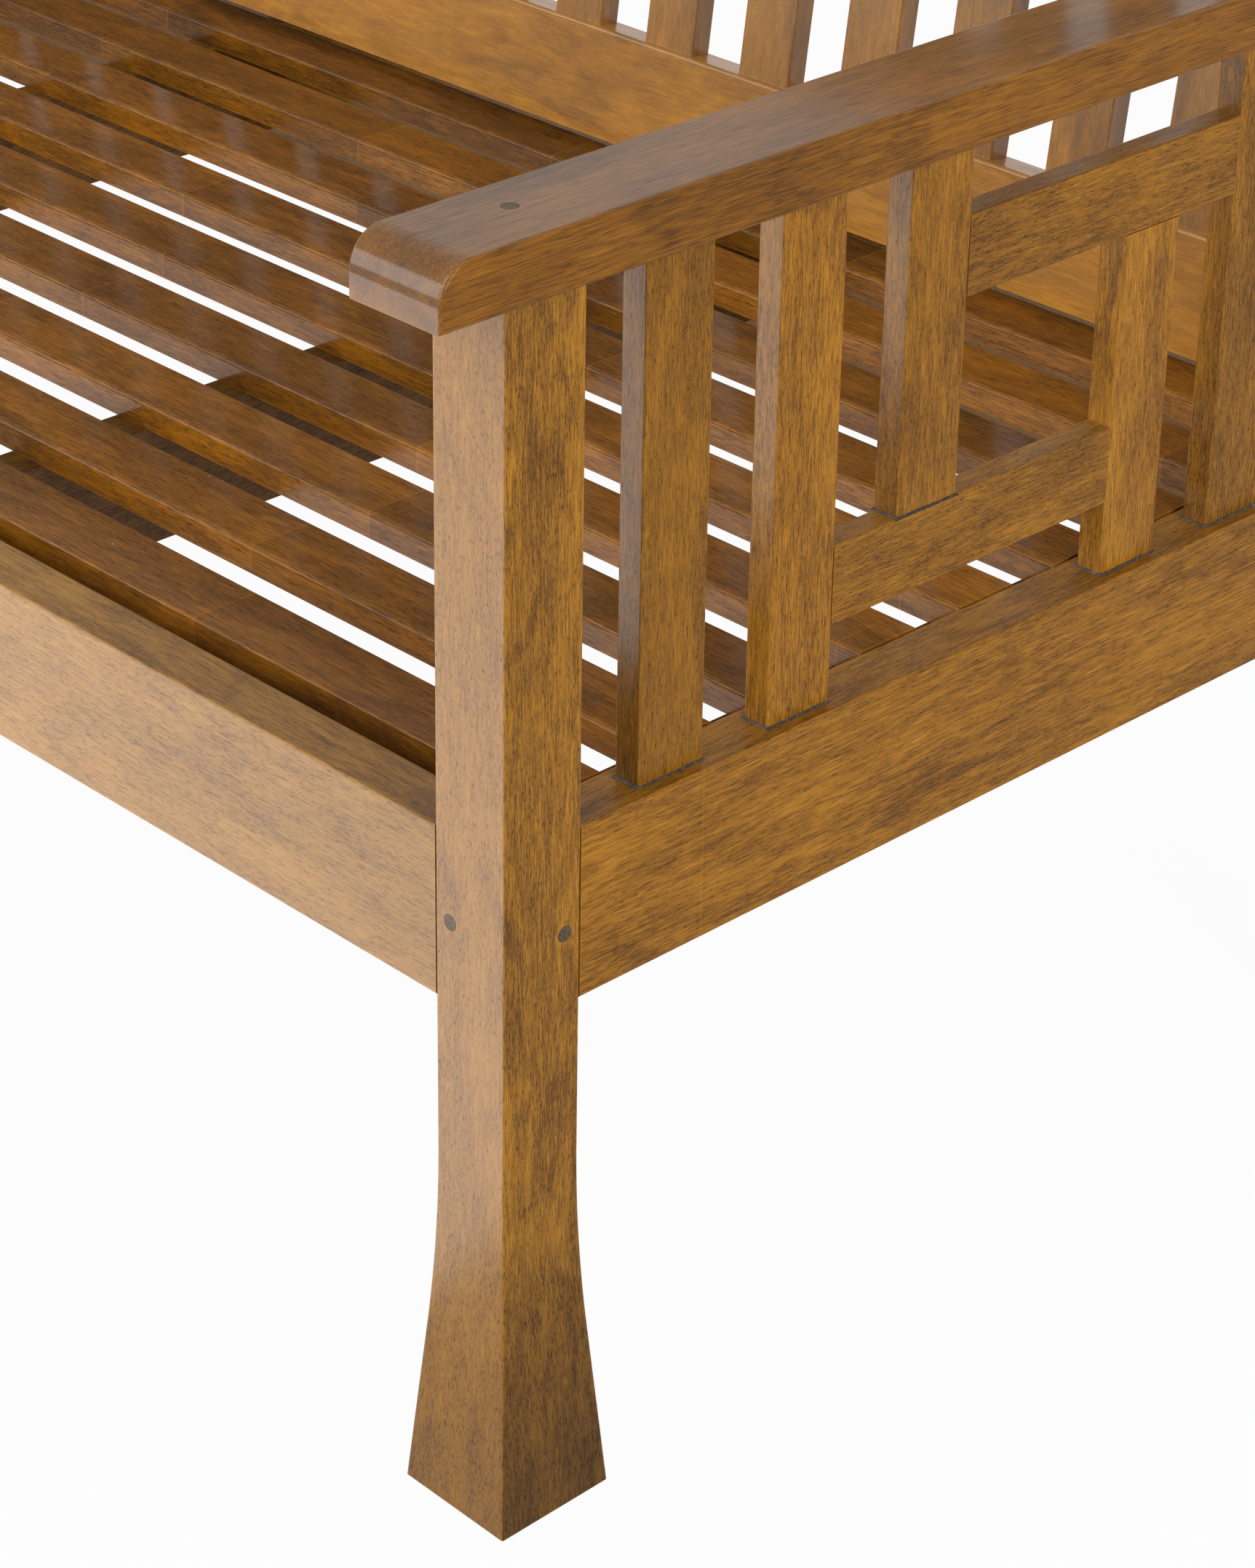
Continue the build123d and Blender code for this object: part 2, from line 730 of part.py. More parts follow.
with BuildPart() as cleat_screws:
    head_x = cleat_x - cleat_width / 2 + small_head_recess
    for side in SIDES.values():
        for share in cleat_screw_shares:
            z = seat_underside - cleat_height / 2
            head = plane_at((side * head_x, cleat_screw_y(share), z), (side, 0, 0))
            rod(head, small_head_diameter, small_head_height)
            rod(head, small_shank_diameter, cleat_width - small_head_recess + cleat_screw_reach)
save(cleat_screws, "cleat_screws")

with BuildPart() as back_bolts:
    head_x = back_stile_x - back_stile_width / 2
    for side in SIDES.values():
        for distance in (bolt_low, bolt_high):
            y, z = bolt_place(distance)
            head = plane_at((side * head_x, y, z), (side, 0, 0))
            rod(head, bolt_head_diameter, bolt_head_height)
            rod(head, bolt_diameter, back_stile_width + back_stile_clearance + bolt_reach)
save(back_bolts, "back_bolts")

with BuildPart() as bolt_inserts:
    mouth_x = leg_x - leg_side / 2
    for side in SIDES.values():
        for distance in (bolt_low, bolt_high):
            y, z = bolt_place(distance)
            mouth = plane_at((side * mouth_x, y, z), (side, 0, 0))
            rod(mouth, insert_diameter, insert_length)
    for side in SIDES.values():
        for distance in (bolt_low, bolt_high):
            y, z = bolt_place(distance)
            mouth = plane_at((side * mouth_x, y, z), (side, 0, 0))
            hole(mouth, bolt_diameter, insert_length)
save(bolt_inserts, "bolt_inserts")
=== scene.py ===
import logging
from dataclasses import dataclass, replace
from enum import Enum
from itertools import product
from math import cos, pi, radians, sin
from typing import Union

import bpy
from mathutils import Matrix, Vector, noise


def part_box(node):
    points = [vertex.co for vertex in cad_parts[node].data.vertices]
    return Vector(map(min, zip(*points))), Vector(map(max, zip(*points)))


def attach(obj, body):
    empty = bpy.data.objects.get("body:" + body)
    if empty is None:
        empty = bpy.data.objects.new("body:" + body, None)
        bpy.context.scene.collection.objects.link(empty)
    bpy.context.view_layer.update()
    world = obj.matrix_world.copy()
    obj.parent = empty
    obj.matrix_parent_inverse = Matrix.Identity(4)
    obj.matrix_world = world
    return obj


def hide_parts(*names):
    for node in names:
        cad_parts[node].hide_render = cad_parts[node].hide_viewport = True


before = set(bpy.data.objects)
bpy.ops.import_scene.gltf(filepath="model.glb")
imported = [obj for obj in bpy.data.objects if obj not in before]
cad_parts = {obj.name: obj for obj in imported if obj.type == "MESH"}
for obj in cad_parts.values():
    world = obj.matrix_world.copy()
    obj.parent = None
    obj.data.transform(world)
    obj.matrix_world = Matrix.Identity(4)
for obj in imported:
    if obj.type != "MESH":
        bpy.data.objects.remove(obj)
log = logging.getLogger("settle")

Colour = tuple[float, float, float]
Numbers = tuple[float, float, float]
Span = tuple[float, float]
Value = Union[float, Numbers, bpy.types.NodeSocket]

MM = 0.001
BODY = "root"
BACK_LEAN = radians(7.5)

# How far a normal lies along an axis where a face starts and ends to count as looking that way.
FRONTWARD: Span = (0.6, 0.9)
ENDWARD: Span = (0.55, 0.85)
UPWARD = 0.8

# Steps in metres that part the boards in their common pattern, and the step of their tones.
BOARD_STEP: Numbers = (1.37, 0.731, 0.419)
BOARD_SCATTER: Numbers = (3.0, 3.0, 3.0)
TONE_STEP = 0.618


class Side(Enum):
    """The two ends of the settle, with the sign of X there."""

    RIGHT = 1
    LEFT = -1

    @property
    def word(self) -> str:
        """The side's name as the pieces use it."""
        return self.name.lower()


class Grain(Enum):
    """Direction of the grain, as the turn that lays it along a pattern's first axis."""

    ALONG_SEAT = (0.0, 0.0, 0.0)
    FRONT_TO_BACK = (0.0, 0.0, -pi / 2)
    UPRIGHT = (0.0, pi / 2, 0.0)
    LEANING = (BACK_LEAN, pi / 2, 0.0)
    ALONG_LEANING_RAIL = (BACK_LEAN, 0.0, 0.0)


@dataclass(frozen=True)
class Pattern:
    """Soft noise: units per metre on each axis, octaves, weight of the finer ones and bend."""

    per_metre: Numbers
    detail: float
    rough: float
    bend: float = 0.0


def drawn_out(width: float, length: float, character: Numbers) -> Pattern:
    """Pattern that is drawn out along the grain.

    Args:
        width: Width of one unit across the grain, in metres.
        length: Length of one unit along the grain, in metres.
        character: Octaves, weight of the finer ones and bend.

    Returns:
        The pattern.
    """
    return Pattern((1 / length, 1 / width, 1 / width), *character)


class Graph:
    """Node tree of one material, with short calls for the nodes that the finishes use."""

    def __init__(self, name: str) -> None:
        """Start an empty material.

        Args:
            name: Name of the material.
        """
        self.material = bpy.data.materials.new(name)
        self.material.use_nodes = True
        self.tree = self.material.node_tree
        self.tree.nodes.clear()

    def node(self, kind: str, **settings: object) -> bpy.types.Node:
        """Add a node.

        Args:
            kind: Blender's type name without the leading ShaderNode.
            **settings: Attributes of the node.

        Returns:
            The new node.
        """
        made = self.tree.nodes.new("ShaderNode" + kind)
        for name, value in settings.items():
            setattr(made, name, value)
        return made

    def feed(self, socket: bpy.types.NodeSocket, value: Value) -> None:
        """Link a socket to an input, or set the input to a plain value.

        Args:
            socket: The input.
            value: A socket, number, vector or colour.
        """
        if isinstance(value, bpy.types.NodeSocket):
            self.tree.links.new(value, socket)
        elif isinstance(value, tuple) and socket.type == "RGBA":
            socket.default_value = (*value, 1.0)
        else:
            socket.default_value = value

    def math(self, operation: str, *values: Value) -> bpy.types.NodeSocket:
        """Combine one to three numbers.

        Args:
            operation: Name of the operation.
            *values: Its operands.

        Returns:
            The result.
        """
        made = self.node("Math", operation=operation)
        for socket, value in zip(made.inputs, values):
            self.feed(socket, value)
        return made.outputs[0]

    def vector(self, operation: str, *values: Value) -> bpy.types.Node:
        """Combine vectors.

        Args:
            operation: Name of the operation.
            *values: Its operands.

        Returns:
            The node, with the resulting vector first.
        """
        made = self.node("VectorMath", operation=operation)
        for socket, value in zip(made.inputs, values):
            self.feed(socket, value)
        return made

    def swing(self, value: Value, middle: float, width: float) -> bpy.types.NodeSocket:
        """Turn a value from 0 to 1 into a number that swings round a middle.

        Args:
            value: The value.
            middle: What a value of one half gives.
            width: Whole width of the swing.

        Returns:
            The number.
        """
        return self.math("MULTIPLY_ADD", value, width, middle - width / 2)

    def noise(self, place: Value, pattern: Pattern) -> bpy.types.NodeSocket:
        """Soft noise of a real size.

        Args:
            place: Coordinates in metres.
            pattern: Size and character of the noise.

        Returns:
            A value near 0 to 1.
        """
        made = self.node("TexNoise", noise_dimensions="3D")
        scaled = self.vector("MULTIPLY", place, pattern.per_metre)
        self.feed(made.inputs["Vector"], scaled.outputs[0])
        made.inputs["Scale"].default_value = 1.0
        made.inputs["Detail"].default_value = pattern.detail
        made.inputs["Roughness"].default_value = pattern.rough
        made.inputs["Distortion"].default_value = pattern.bend
        return made.outputs[0]

    def step(
        self, value: Value, bounds: Span, ends: tuple[Value, Value] = (0.0, 1.0)
    ) -> bpy.types.NodeSocket:
        """Smooth step from one bound to another.

        Args:
            value: The number to test.
            bounds: Where the step starts and ends.
            ends: What it gives before and after.

        Returns:
            A number between the ends.
        """
        made = self.node("MapRange", interpolation_type="SMOOTHSTEP")
        names = ("Value", "From Min", "From Max", "To Min", "To Max")
        for name, number in zip(names, (value, *bounds, *ends)):
            self.feed(made.inputs[name], number)
        return made.outputs[0]

    def mix(self, share: Value, first: Value, second: Value) -> bpy.types.NodeSocket:
        """Blend two colours.

        Args:
            share: Share of the second.
            first: First colour.
            second: Second colour.

        Returns:
            The blended colour.
        """
        made = self.node("Mix", data_type="RGBA", clamp_factor=True)
        for number, value in ((0, share), (6, first), (7, second)):
            self.feed(made.inputs[number], value)
        return made.outputs[2]

    def parts(self, vector: Value) -> tuple[bpy.types.NodeSocket, ...]:
        """Split a vector into its three numbers.

        Args:
            vector: The vector.

        Returns:
            Its X, Y and Z.
        """
        made = self.node("SeparateXYZ")
        self.feed(made.inputs[0], vector)
        return tuple(made.outputs)

    def place(self) -> bpy.types.NodeSocket:
        """Place on the piece, in metres in the frame's axes."""
        return self.node("TexCoord").outputs["Object"]

    def normal(self) -> bpy.types.NodeSocket:
        """Normal of the surface."""
        return self.node("NewGeometry").outputs["Normal"]

    def finish(self, shader: bpy.types.Node) -> bpy.types.Material:
        """Join a shader to the output.

        Args:
            shader: The last shader.

        Returns:
            The finished material.
        """
        output = self.node("OutputMaterial")
        self.tree.links.new(shader.outputs[0], output.inputs["Surface"])
        return self.material

    def surface(
        self, colour: Value, roughness: Value, height: Value, relief: Span, levels: dict[str, Value]
    ) -> bpy.types.Material:
        """Finish the material with one shader and its bump.

        Args:
            colour: Base colour.
            roughness: Roughness.
            height: Height of the relief.
            relief: Depth of the relief in metres, and its strength.
            levels: Values for the shader's other inputs by name.

        Returns:
            The finished material.
        """
        bump = self.node("Bump")
        for name, value in zip(("Distance", "Strength", "Height"), (*relief, height)):
            self.feed(bump.inputs[name], value)
        shader = self.node("BsdfPrincipled")
        inputs = {"Base Color": colour, "Roughness": roughness, "Normal": bump.outputs[0]}
        for name, value in {**inputs, **levels}.items():
            self.feed(shader.inputs[name], value)
        return self.finish(shader)


@dataclass(frozen=True)
class WoodFinish:
    """Brown-stained hardwood with fine open pores under satin lacquer. Lengths are in metres."""

    gold: Colour = (0.435, 0.194, 0.015)
    brown: Colour = (0.236, 0.097, 0.008)
    stain: Colour = (0.088, 0.037, 0.006)
    pore: Colour = (0.085, 0.032, 0.005)
    dust: Colour = (0.62, 0.56, 0.48)
    depth: float = 1.0
    tone_spread: float = 0.14
    tone_reach: float = 1.25
    clouds: float = 1.2
    cloud: Pattern = Pattern((7.0, 26.0, 26.0), 3.0, 0.55, 0.4)
    patches: float = 0.30
    patch: Pattern = Pattern((13.0, 42.0, 42.0), 3.0, 0.55, 0.9)
    patch_bounds: Span = (0.50, 0.72)
    mottles: float = 0.9
    mottle_width: float = 0.007
    mottle_stretch: float = 5.0
    mottle_noise: Numbers = (2.0, 0.85, 0.3)
    fibres: float = 2.1
    fibre_width: float = 0.0008
    fibre_stretch: float = 16.0
    fibre_noise: Numbers = (2.0, 0.9, 0.0)
    front_calm: float = 1.0
    pores: float = 0.9
    pore_width: float = 0.00042
    pore_length: float = 0.0032
    pore_noise: Numbers = (1.0, 0.45, 0.0)
    pore_cluster: float = 0.32
    pore_bounds: Span = (0.57, 0.67)
    # Painted shade: the colour darkens towards the floor up to this height, to the first share on
    # side faces and the second on front and rear faces.
    painted_toe_shade_sides: float = 1.0
    painted_toe_shade_front: float = 1.0
    painted_toe_shade_height: float = 0.23
    blocks: float = 0.35
    block_length: float = 0.42
    block_scatter: float = 0.7
    joint_width: float = 0.0008
    joint_share: float = 0.12
    dust_share: float = 0.0
    dust_per_metre: float = 95.0
    dust_bounds: Span = (0.028, 0.045)
    # Arrises lightened towards gold: partly real wear, partly a painted edge highlight.
    worn_and_highlight: float = 0.25
    worn_and_highlight_width: float = 0.0016
    worn_and_highlight_bounds: Span = (0.995, 0.90)
    worn_samples: int = 4
    gloss: float = 0.42
    gloss_swing: float = 0.16
    pore_matt: float = 0.2
    shine: float = 0.06
    coat: float = 0.40
    rubbed: float = 1.0
    coat_gloss: float = 0.24
    fibre_height: float = 0.5
    relief: Span = (0.00012, 0.6)

    def place(self, graph: Graph, grain: Grain, seed: int, repeat: Span) -> tuple[Value, Value]:
        """Coordinates along and across the grain, different on each board.

        Args:
            graph: The material's nodes.
            grain: Direction of the grain.
            seed: Number of the board.
            repeat: Start and pitch in X of the boards that share one node, or zeros.

        Returns:
            The coordinates, and a random number from 0 to 1 of the board.
        """
        source = graph.place()
        turned = graph.node("Mapping", vector_type="POINT")
        turned.inputs["Rotation"].default_value = grain.value
        turned.inputs["Location"].default_value = tuple(step * seed for step in BOARD_STEP)
        graph.feed(turned.inputs["Vector"], source)
        start, pitch = repeat
        if not pitch:
            return turned.outputs[0], (TONE_STEP * seed) % 1.0
        along = graph.math("SUBTRACT", graph.parts(source)[0], start)
        board = graph.math("FLOOR", graph.math("DIVIDE", along, pitch))
        chance = graph.node("TexWhiteNoise", noise_dimensions="1D")
        graph.feed(chance.inputs["W"], board)
        scatter = graph.vector("MULTIPLY", chance.outputs["Color"], BOARD_SCATTER)
        moved = graph.vector("ADD", turned.outputs[0], scatter.outputs[0])
        return moved.outputs[0], chance.outputs["Value"]

    def figure(
        self, graph: Graph, place: Value, mottle: Value, fibre: Value, sideways: Value
    ) -> Value:
        """Add up the patterns that shift the colour between gold, brown and stain.

        Args:
            graph: The material's nodes.
            place: Coordinates of the board.
            mottle: Pattern of the mottle.
            fibre: Pattern of the fibres.
            sideways: How far the surface looks to the front or the rear.

        Returns:
            The shift, below 0 towards gold and above 0 towards stain.
        """
        patch = graph.step(graph.noise(place, self.patch), self.patch_bounds)
        shift = graph.math("MULTIPLY", patch, self.patches)
        cloud = graph.noise(place, self.cloud)
        swings = ((cloud, self.clouds), (mottle, self.mottles), (fibre, self.fibres))
        for pattern, amount in swings:
            shift = graph.math("ADD", shift, graph.swing(pattern, 0.0, amount))
        if self.front_calm < 1.0:
            calm = graph.step(sideways, FRONTWARD, (1.0, self.front_calm))
            shift = graph.math("MULTIPLY", shift, calm)
        return shift

    def boards(self, graph: Graph, place: Value) -> tuple[Value, Value]:
        """Blocks joined end to end along a board.

        Args:
            graph: The material's nodes.
            place: Coordinates of the board.

        Returns:
            A random number of the block, and 1 on the thin joint between two blocks.
        """
        along = graph.parts(place)[0]
        tone = graph.node("TexVoronoi", voronoi_dimensions="1D", feature="F1")
        edge = graph.node("TexVoronoi", voronoi_dimensions="1D", feature="DISTANCE_TO_EDGE")
        for cells in (tone, edge):
            graph.feed(cells.inputs["W"], along)
            cells.inputs["Scale"].default_value = 1 / self.block_length
            cells.inputs["Randomness"].default_value = self.block_scatter
        chance = graph.node("SeparateColor")
        graph.feed(chance.inputs[0], tone.outputs["Color"])
        half = self.joint_width / self.block_length / 2
        joint = graph.step(edge.outputs["Distance"], (half, 2 * half), (1.0, 0.0))
        return chance.outputs[0], joint

    def edges(self, graph: Graph) -> Value:
        """Find the arrises, where the finish is rubbed thin and a highlight is painted.

        Args:
            graph: The material's nodes.

        Returns:
            1 on the arrises and 0 on flat faces.
        """
        rounded = graph.node("Bevel", samples=self.worn_samples)
        rounded.inputs["Radius"].default_value = self.worn_and_highlight_width
        likeness = graph.vector("DOT_PRODUCT", rounded.outputs[0], graph.normal())
        return graph.step(likeness.outputs["Value"], self.worn_and_highlight_bounds)

    def dusty(self, graph: Graph, colour: Value) -> Value:
        """Sparse pale dust caught in the lacquer of faces that look up.

        Args:
            graph: The material's nodes.
            colour: The wood's colour.

        Returns:
            The colour with its dust.
        """
        cells = graph.node("TexVoronoi", voronoi_dimensions="3D", feature="F1")
        graph.feed(cells.inputs["Vector"], graph.place())
        cells.inputs["Scale"].default_value = self.dust_per_metre
        speck = graph.step(cells.outputs["Distance"], self.dust_bounds, (1.0, 0.0))
        chance = graph.node("SeparateColor")
        graph.feed(chance.inputs[0], cells.outputs["Color"])
        kept = graph.math("LESS_THAN", chance.outputs[1], self.dust_share)
        level = graph.math("GREATER_THAN", graph.parts(graph.normal())[2], UPWARD)
        share = graph.math("MULTIPLY", graph.math("MULTIPLY", speck, kept), level)
        return graph.mix(share, colour, self.dust)

    def coated(self, graph: Graph) -> Value:
        """Weight of the coat, which is rubbed thinner on faces that look to the ends.

        Args:
            graph: The material's nodes.

        Returns:
            The weight.
        """
        if self.rubbed == 1.0:
            return self.coat
        endways = graph.math("ABSOLUTE", graph.parts(graph.normal())[0])
        return graph.step(endways, ENDWARD, (self.coat, self.coat * self.rubbed))

    def make(
        self, name: str, grain: Grain, seed: int, repeat: Span = (0.0, 0.0)
    ) -> bpy.types.Material:
        """Build the material of one board or row of boards.

        Args:
            name: Name of the material.
            grain: Direction of the grain.
            seed: Number of the board.
            repeat: Start and pitch in X of the boards that share one node, or zeros.

        Returns:
            The material.
        """
        graph = Graph(name)
        place, chance = self.place(graph, grain, seed, repeat)
        sideways = graph.math("ABSOLUTE", graph.parts(graph.normal())[1])
        length = self.mottle_width * self.mottle_stretch
        mottle = graph.noise(place, drawn_out(self.mottle_width, length, self.mottle_noise))
        length = self.fibre_width * self.fibre_stretch
        fibre = graph.noise(place, drawn_out(self.fibre_width, length, self.fibre_noise))
        dash = graph.noise(place, drawn_out(self.pore_width, self.pore_length, self.pore_noise))
        block, joint = self.boards(graph, place)

        shift = self.figure(graph, place, mottle, fibre, sideways)
        golden = graph.math("MULTIPLY_ADD", shift, self.tone_reach, 1.0)
        colour = graph.mix(golden, self.gold, self.brown)
        colour = graph.mix(graph.math("MULTIPLY", shift, self.tone_reach), colour, self.stain)
        clustered = graph.math("MULTIPLY_ADD", shift, self.pore_cluster, dash)
        open_pores = graph.math("MULTIPLY", graph.step(clustered, self.pore_bounds), self.pores)
        colour = graph.mix(open_pores, colour, self.pore)

        shade = graph.swing(block, self.depth, -self.blocks)
        shade = graph.math("ADD", shade, graph.swing(chance, 0.0, self.tone_spread))
        # Painted shade: the colour darkens towards the floor, more on faces that look to the sides
        # than on faces that look to the front or rear.
        if self.painted_toe_shade_sides < 1.0:
            height = graph.parts(graph.place())[2]
            painted_shade_at_floor = graph.step(sideways, FRONTWARD, (self.painted_toe_shade_sides, self.painted_toe_shade_front))
            painted_toe_shade = graph.step(height, (0.0, self.painted_toe_shade_height), (painted_shade_at_floor, 1.0))
            shade = graph.math("MULTIPLY", shade, painted_toe_shade)
        colour = graph.vector("MULTIPLY", colour, shade).outputs[0]
        if self.blocks:
            joint_share = graph.math("MULTIPLY", joint, self.joint_share)
            colour = graph.mix(joint_share, colour, self.gold)
        # Arrises lightened towards gold: partly real wear, partly a painted edge highlight.
        worn_and_highlight_share = graph.math("MULTIPLY", self.edges(graph), self.worn_and_highlight)
        colour = graph.mix(worn_and_highlight_share, colour, self.gold)
        if self.dust_share:
            colour = self.dusty(graph, colour)

        matt_pores = graph.math("MULTIPLY", open_pores, self.pore_matt)
        roughness = graph.math("ADD", graph.swing(mottle, self.gloss, self.gloss_swing), matt_pores)
        fibre_height = graph.math("MULTIPLY", fibre, self.fibre_height)
        height = graph.math("SUBTRACT", fibre_height, open_pores)
        levels = {
            "Specular IOR Level": self.shine,
            "Coat Weight": self.coated(graph),
            "Coat Roughness": self.coat_gloss,
        }
        return graph.surface(colour, roughness, height, self.relief, levels)


@dataclass(frozen=True)
class SmallFinish:
    """Two tones in soft patches under a finer relief, for small pieces. Lengths are in metres."""

    tones: tuple[Colour, Colour]
    patches: Pattern
    patch_bounds: Span
    marks: Pattern
    gloss: float
    gloss_swing: float
    relief: Span
    shine: float = 0.5
    coat: float = 0.0
    coat_gloss: float = 0.03
    metallic: float = 0.0
    pit: Colour = (0.02, 0.014, 0.01)
    pit_bounds: Span = (0.55, 0.7)
    pit_share: float = 0.0

    def make(self, name: str) -> bpy.types.Material:
        """Build the material.

        Args:
            name: Name of the material.

        Returns:
            The material.
        """
        graph = Graph(name)
        place = graph.place()
        marks = graph.noise(place, self.marks)
        patches = graph.step(graph.noise(place, self.patches), self.patch_bounds)
        colour = graph.mix(patches, *self.tones)
        if self.pit_share:
            pits = graph.math("MULTIPLY", graph.step(marks, self.pit_bounds), self.pit_share)
            colour = graph.mix(pits, colour, self.pit)
        levels = {
            "Metallic": self.metallic,
            "Specular IOR Level": self.shine,
            "Coat Weight": self.coat,
            "Coat Roughness": self.coat_gloss,
        }
        roughness = graph.swing(marks, self.gloss, self.gloss_swing)
        return graph.surface(colour, roughness, marks, self.relief, levels)


@dataclass(frozen=True)
class PlugFinish(SmallFinish):
    """End grain of a small round plug, stained dark, with pits."""

    tones: tuple[Colour, Colour] = ((0.050, 0.031, 0.016), (0.105, 0.066, 0.034))
    patches: Pattern = Pattern((260.0, 700.0, 400.0), 3.0, 0.6, 1.2)
    patch_bounds: Span = (0.35, 0.65)
    marks: Pattern = Pattern((1500.0, 1500.0, 1500.0), 2.0, 0.6)
    gloss: float = 0.42
    gloss_swing: float = 0.2
    relief: Span = (0.0001, 0.5)
    shine: float = 0.1
    coat: float = 0.15
    coat_gloss: float = 0.25
    pit_share: float = 0.6


@dataclass(frozen=True)
class MetalFinish(SmallFinish):
    """Plated or bare metal with a faint haze and tool marks."""

    tones: tuple[Colour, Colour] = ((0.60, 0.60, 0.58), (0.36, 0.36, 0.35))
    patches: Pattern = Pattern((160.0, 160.0, 160.0), 3.0, 0.6)
    patch_bounds: Span = (0.35, 0.7)
    marks: Pattern = Pattern((220.0, 1600.0, 1600.0), 3.0, 0.6)
    gloss: float = 0.32
    gloss_swing: float = 0.3
    relief: Span = (0.00005, 0.25)
    metallic: float = 1.0


@dataclass(frozen=True)
class BeadFinish(SmallFinish):
    """Dark glue and lacquer gathered in a corner, glossy and uneven."""

    tones: tuple[Colour, Colour] = ((0.020, 0.016, 0.012), (0.085, 0.045, 0.020))
    patches: Pattern = Pattern((420.0, 420.0, 420.0), 3.0, 0.6)
    patch_bounds: Span = (0.4, 0.7)
    marks: Pattern = Pattern((420.0, 420.0, 420.0), 3.0, 0.6)
    gloss: float = 0.365
    gloss_swing: float = 0.25
    relief: Span = (0.0004, 0.6)
    shine: float = 0.2
    coat: float = 0.1
    coat_gloss: float = 0.10


def dress(node: str, material: bpy.types.Material) -> None:
    """Give a piece of the frame its finish.

    Args:
        node: Name of the piece.
        material: The finish.
    """
    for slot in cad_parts[node].material_slots:
        slot.material = material
    log.info("%s dressed with %s", node, material.name)


def deselect() -> None:
    """Leave edit mode and select nothing."""
    if bpy.context.object and bpy.context.object.mode != "OBJECT":
        bpy.ops.object.mode_set(mode="OBJECT")
    bpy.ops.object.select_all(action="DESELECT")


def take(piece: bpy.types.Object) -> None:
    """Make a piece the only one that is selected.

    Args:
        piece: The piece.
    """
    deselect()
    piece.select_set(True)
    bpy.context.view_layer.objects.active = piece


def settle_place(piece: bpy.types.Object) -> None:
    """Put a piece's place, turn and size into its mesh."""
    take(piece)
    bpy.ops.object.transform_apply(location=True, rotation=True, scale=True)


def edit_faces(piece: bpy.types.Object, looks_to: Vector, least: float = 0.99) -> None:
    """Enter edit mode with only the faces selected that look a given way.

    Args:
        piece: The piece.
        looks_to: Direction of the wanted faces' normals.
        least: Lowest cosine between a face's normal and that direction.
    """
    take(piece)
    bpy.ops.object.mode_set(mode="EDIT")
    bpy.ops.mesh.select_mode(type="FACE")
    bpy.ops.mesh.select_all(action="DESELECT")
    bpy.ops.object.mode_set(mode="OBJECT")
    for polygon in piece.data.polygons:
        polygon.select = polygon.normal.dot(looks_to) > least
    bpy.ops.object.mode_set(mode="EDIT")


def cut_away(piece: bpy.types.Object, cutter: bpy.types.Object) -> None:
    """Cut one piece by another, which is then removed.

    Args:
        piece: The piece to cut.
        cutter: The shape to take away.
    """
    take(piece)
    cut = piece.modifiers.new("cut", "BOOLEAN")
    cut.operation = "DIFFERENCE"
    cut.solver = "EXACT"
    cut.object = cutter
    bpy.ops.object.modifier_apply(modifier=cut.name)
    bpy.data.objects.remove(cutter)


def joined(name: str, several: list[bpy.types.Object]) -> bpy.types.Object:
    """Join several meshes into one named piece.

    Args:
        name: Name of the piece.
        several: The meshes.

    Returns:
        The joined piece, at the origin.
    """
    take(several[0])
    for other in several:
        other.select_set(True)
    if len(several) > 1:
        bpy.ops.object.join()
    piece = bpy.context.view_layer.objects.active
    piece.name = name
    piece.data.name = name
    deselect()
    return piece


def finish_piece(piece: bpy.types.Object, material: bpy.types.Material) -> None:
    """Give a new piece its finish and its body.

    Args:
        piece: The piece.
        material: Its finish.
    """
    piece.data.materials.clear()
    piece.data.materials.append(material)
    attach(piece, BODY)
    log.info("%s made, %d faces", piece.name, len(piece.data.polygons))


def middle(node: str) -> Vector:
    """Middle of a node's box."""
    low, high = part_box(node)
    return (low + high) / 2


@dataclass
class Posts:
    """The four flared legs and the rails tenoned between them."""

    ends: tuple[str, ...] = ("front", "rear")
    leg_boards: tuple[int, ...] = (3, 4, 6, 7)
    first_side_rail_board: int = 12
    first_long_rail_board: int = 21
    leg: WoodFinish = WoodFinish(
        gold=(0.435, 0.201, 0.016), brown=(0.236, 0.101, 0.009), front_calm=0.5, blocks=0.0,
        # The legs get the painted shade towards the floor.
        painted_toe_shade_sides=0.42, painted_toe_shade_front=0.88, coat=0.56, rubbed=0.3,
    )
    rail: WoodFinish = WoodFinish(
        fibre_stretch=24.0, pore_length=0.004, front_calm=0.5, clouds=0.9, pores=0.7,
        blocks=0.15, dust_share=0.09, coat=0.50, rubbed=0.25,
    )
    long_rail: WoodFinish = replace(rail, gold=(0.430, 0.212, 0.024), brown=(0.232, 0.106, 0.012))

    def dress(self) -> None:
        """Dress the legs and rails, each from a board of its own."""
        for board, (side, end) in zip(self.leg_boards, product(Side, self.ends)):
            node = f"{end}_leg_{side.word}"
            dress(node, self.leg.make(node, Grain.UPRIGHT, board))
        for board, side in enumerate(Side, start=self.first_side_rail_board):
            node = f"side_rail_{side.word}"
            dress(node, self.rail.make(node, Grain.FRONT_TO_BACK, board))
        for board, end in enumerate(self.ends, start=self.first_long_rail_board):
            node = f"{end}_rail"
            dress(node, self.long_rail.make(node, Grain.ALONG_SEAT, board))


